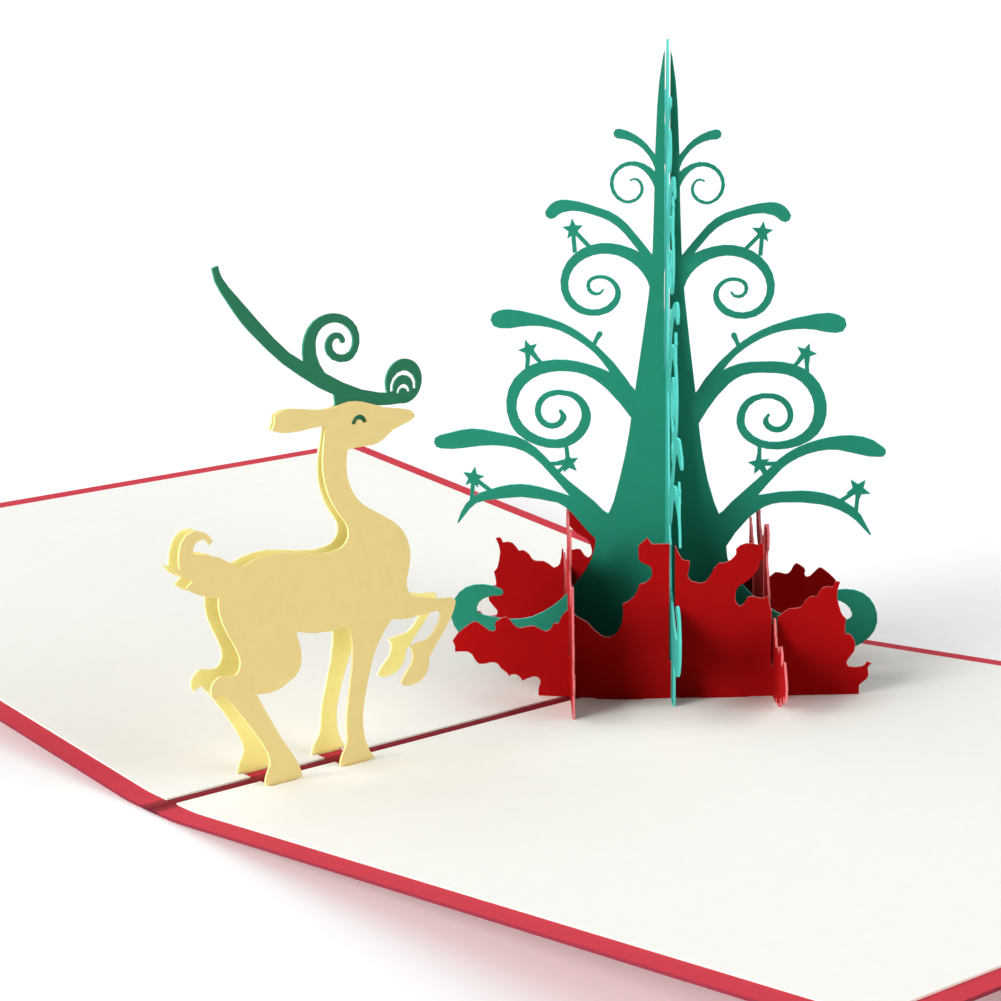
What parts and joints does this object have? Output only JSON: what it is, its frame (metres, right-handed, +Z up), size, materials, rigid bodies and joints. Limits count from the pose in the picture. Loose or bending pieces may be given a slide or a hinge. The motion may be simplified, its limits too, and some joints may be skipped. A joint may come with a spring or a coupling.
{
  "type": "pop up card",
  "caption": "Opened greeting card with a folded card cover, pale liners and a standing paper scene of a reindeer and a slotted tree in a leafy lattice.",
  "frame": {"origin": "middle of the fold, on the flat strip under the card that it rests on", "axes": "+X along the fold from the reindeer to the tree, +Y across the fold to the far leaf, +Z up"},
  "size_m": [0.15, 0.2988, 0.1119],
  "materials": {
    "red_card": "matte",
    "pale_paper": "matte",
    "khaki_paper": "matte",
    "yellow_paper": "matte",
    "green_paper": "matte",
    "red_paper": "matte"
  },
  "bodies": {
    "root": {"cover": "red_card", "liner_near": "pale_paper", "liner_far": "pale_paper", "deer_near": "khaki_paper", "deer_far": "yellow_paper", "antlers": "green_paper", "tree_across": "green_paper", "tree_along": "green_paper", "panel_front": "red_paper", "panel_back": "red_paper", "panel_left": "red_paper", "panel_right": "red_paper"}
  },
  "joints": []
}
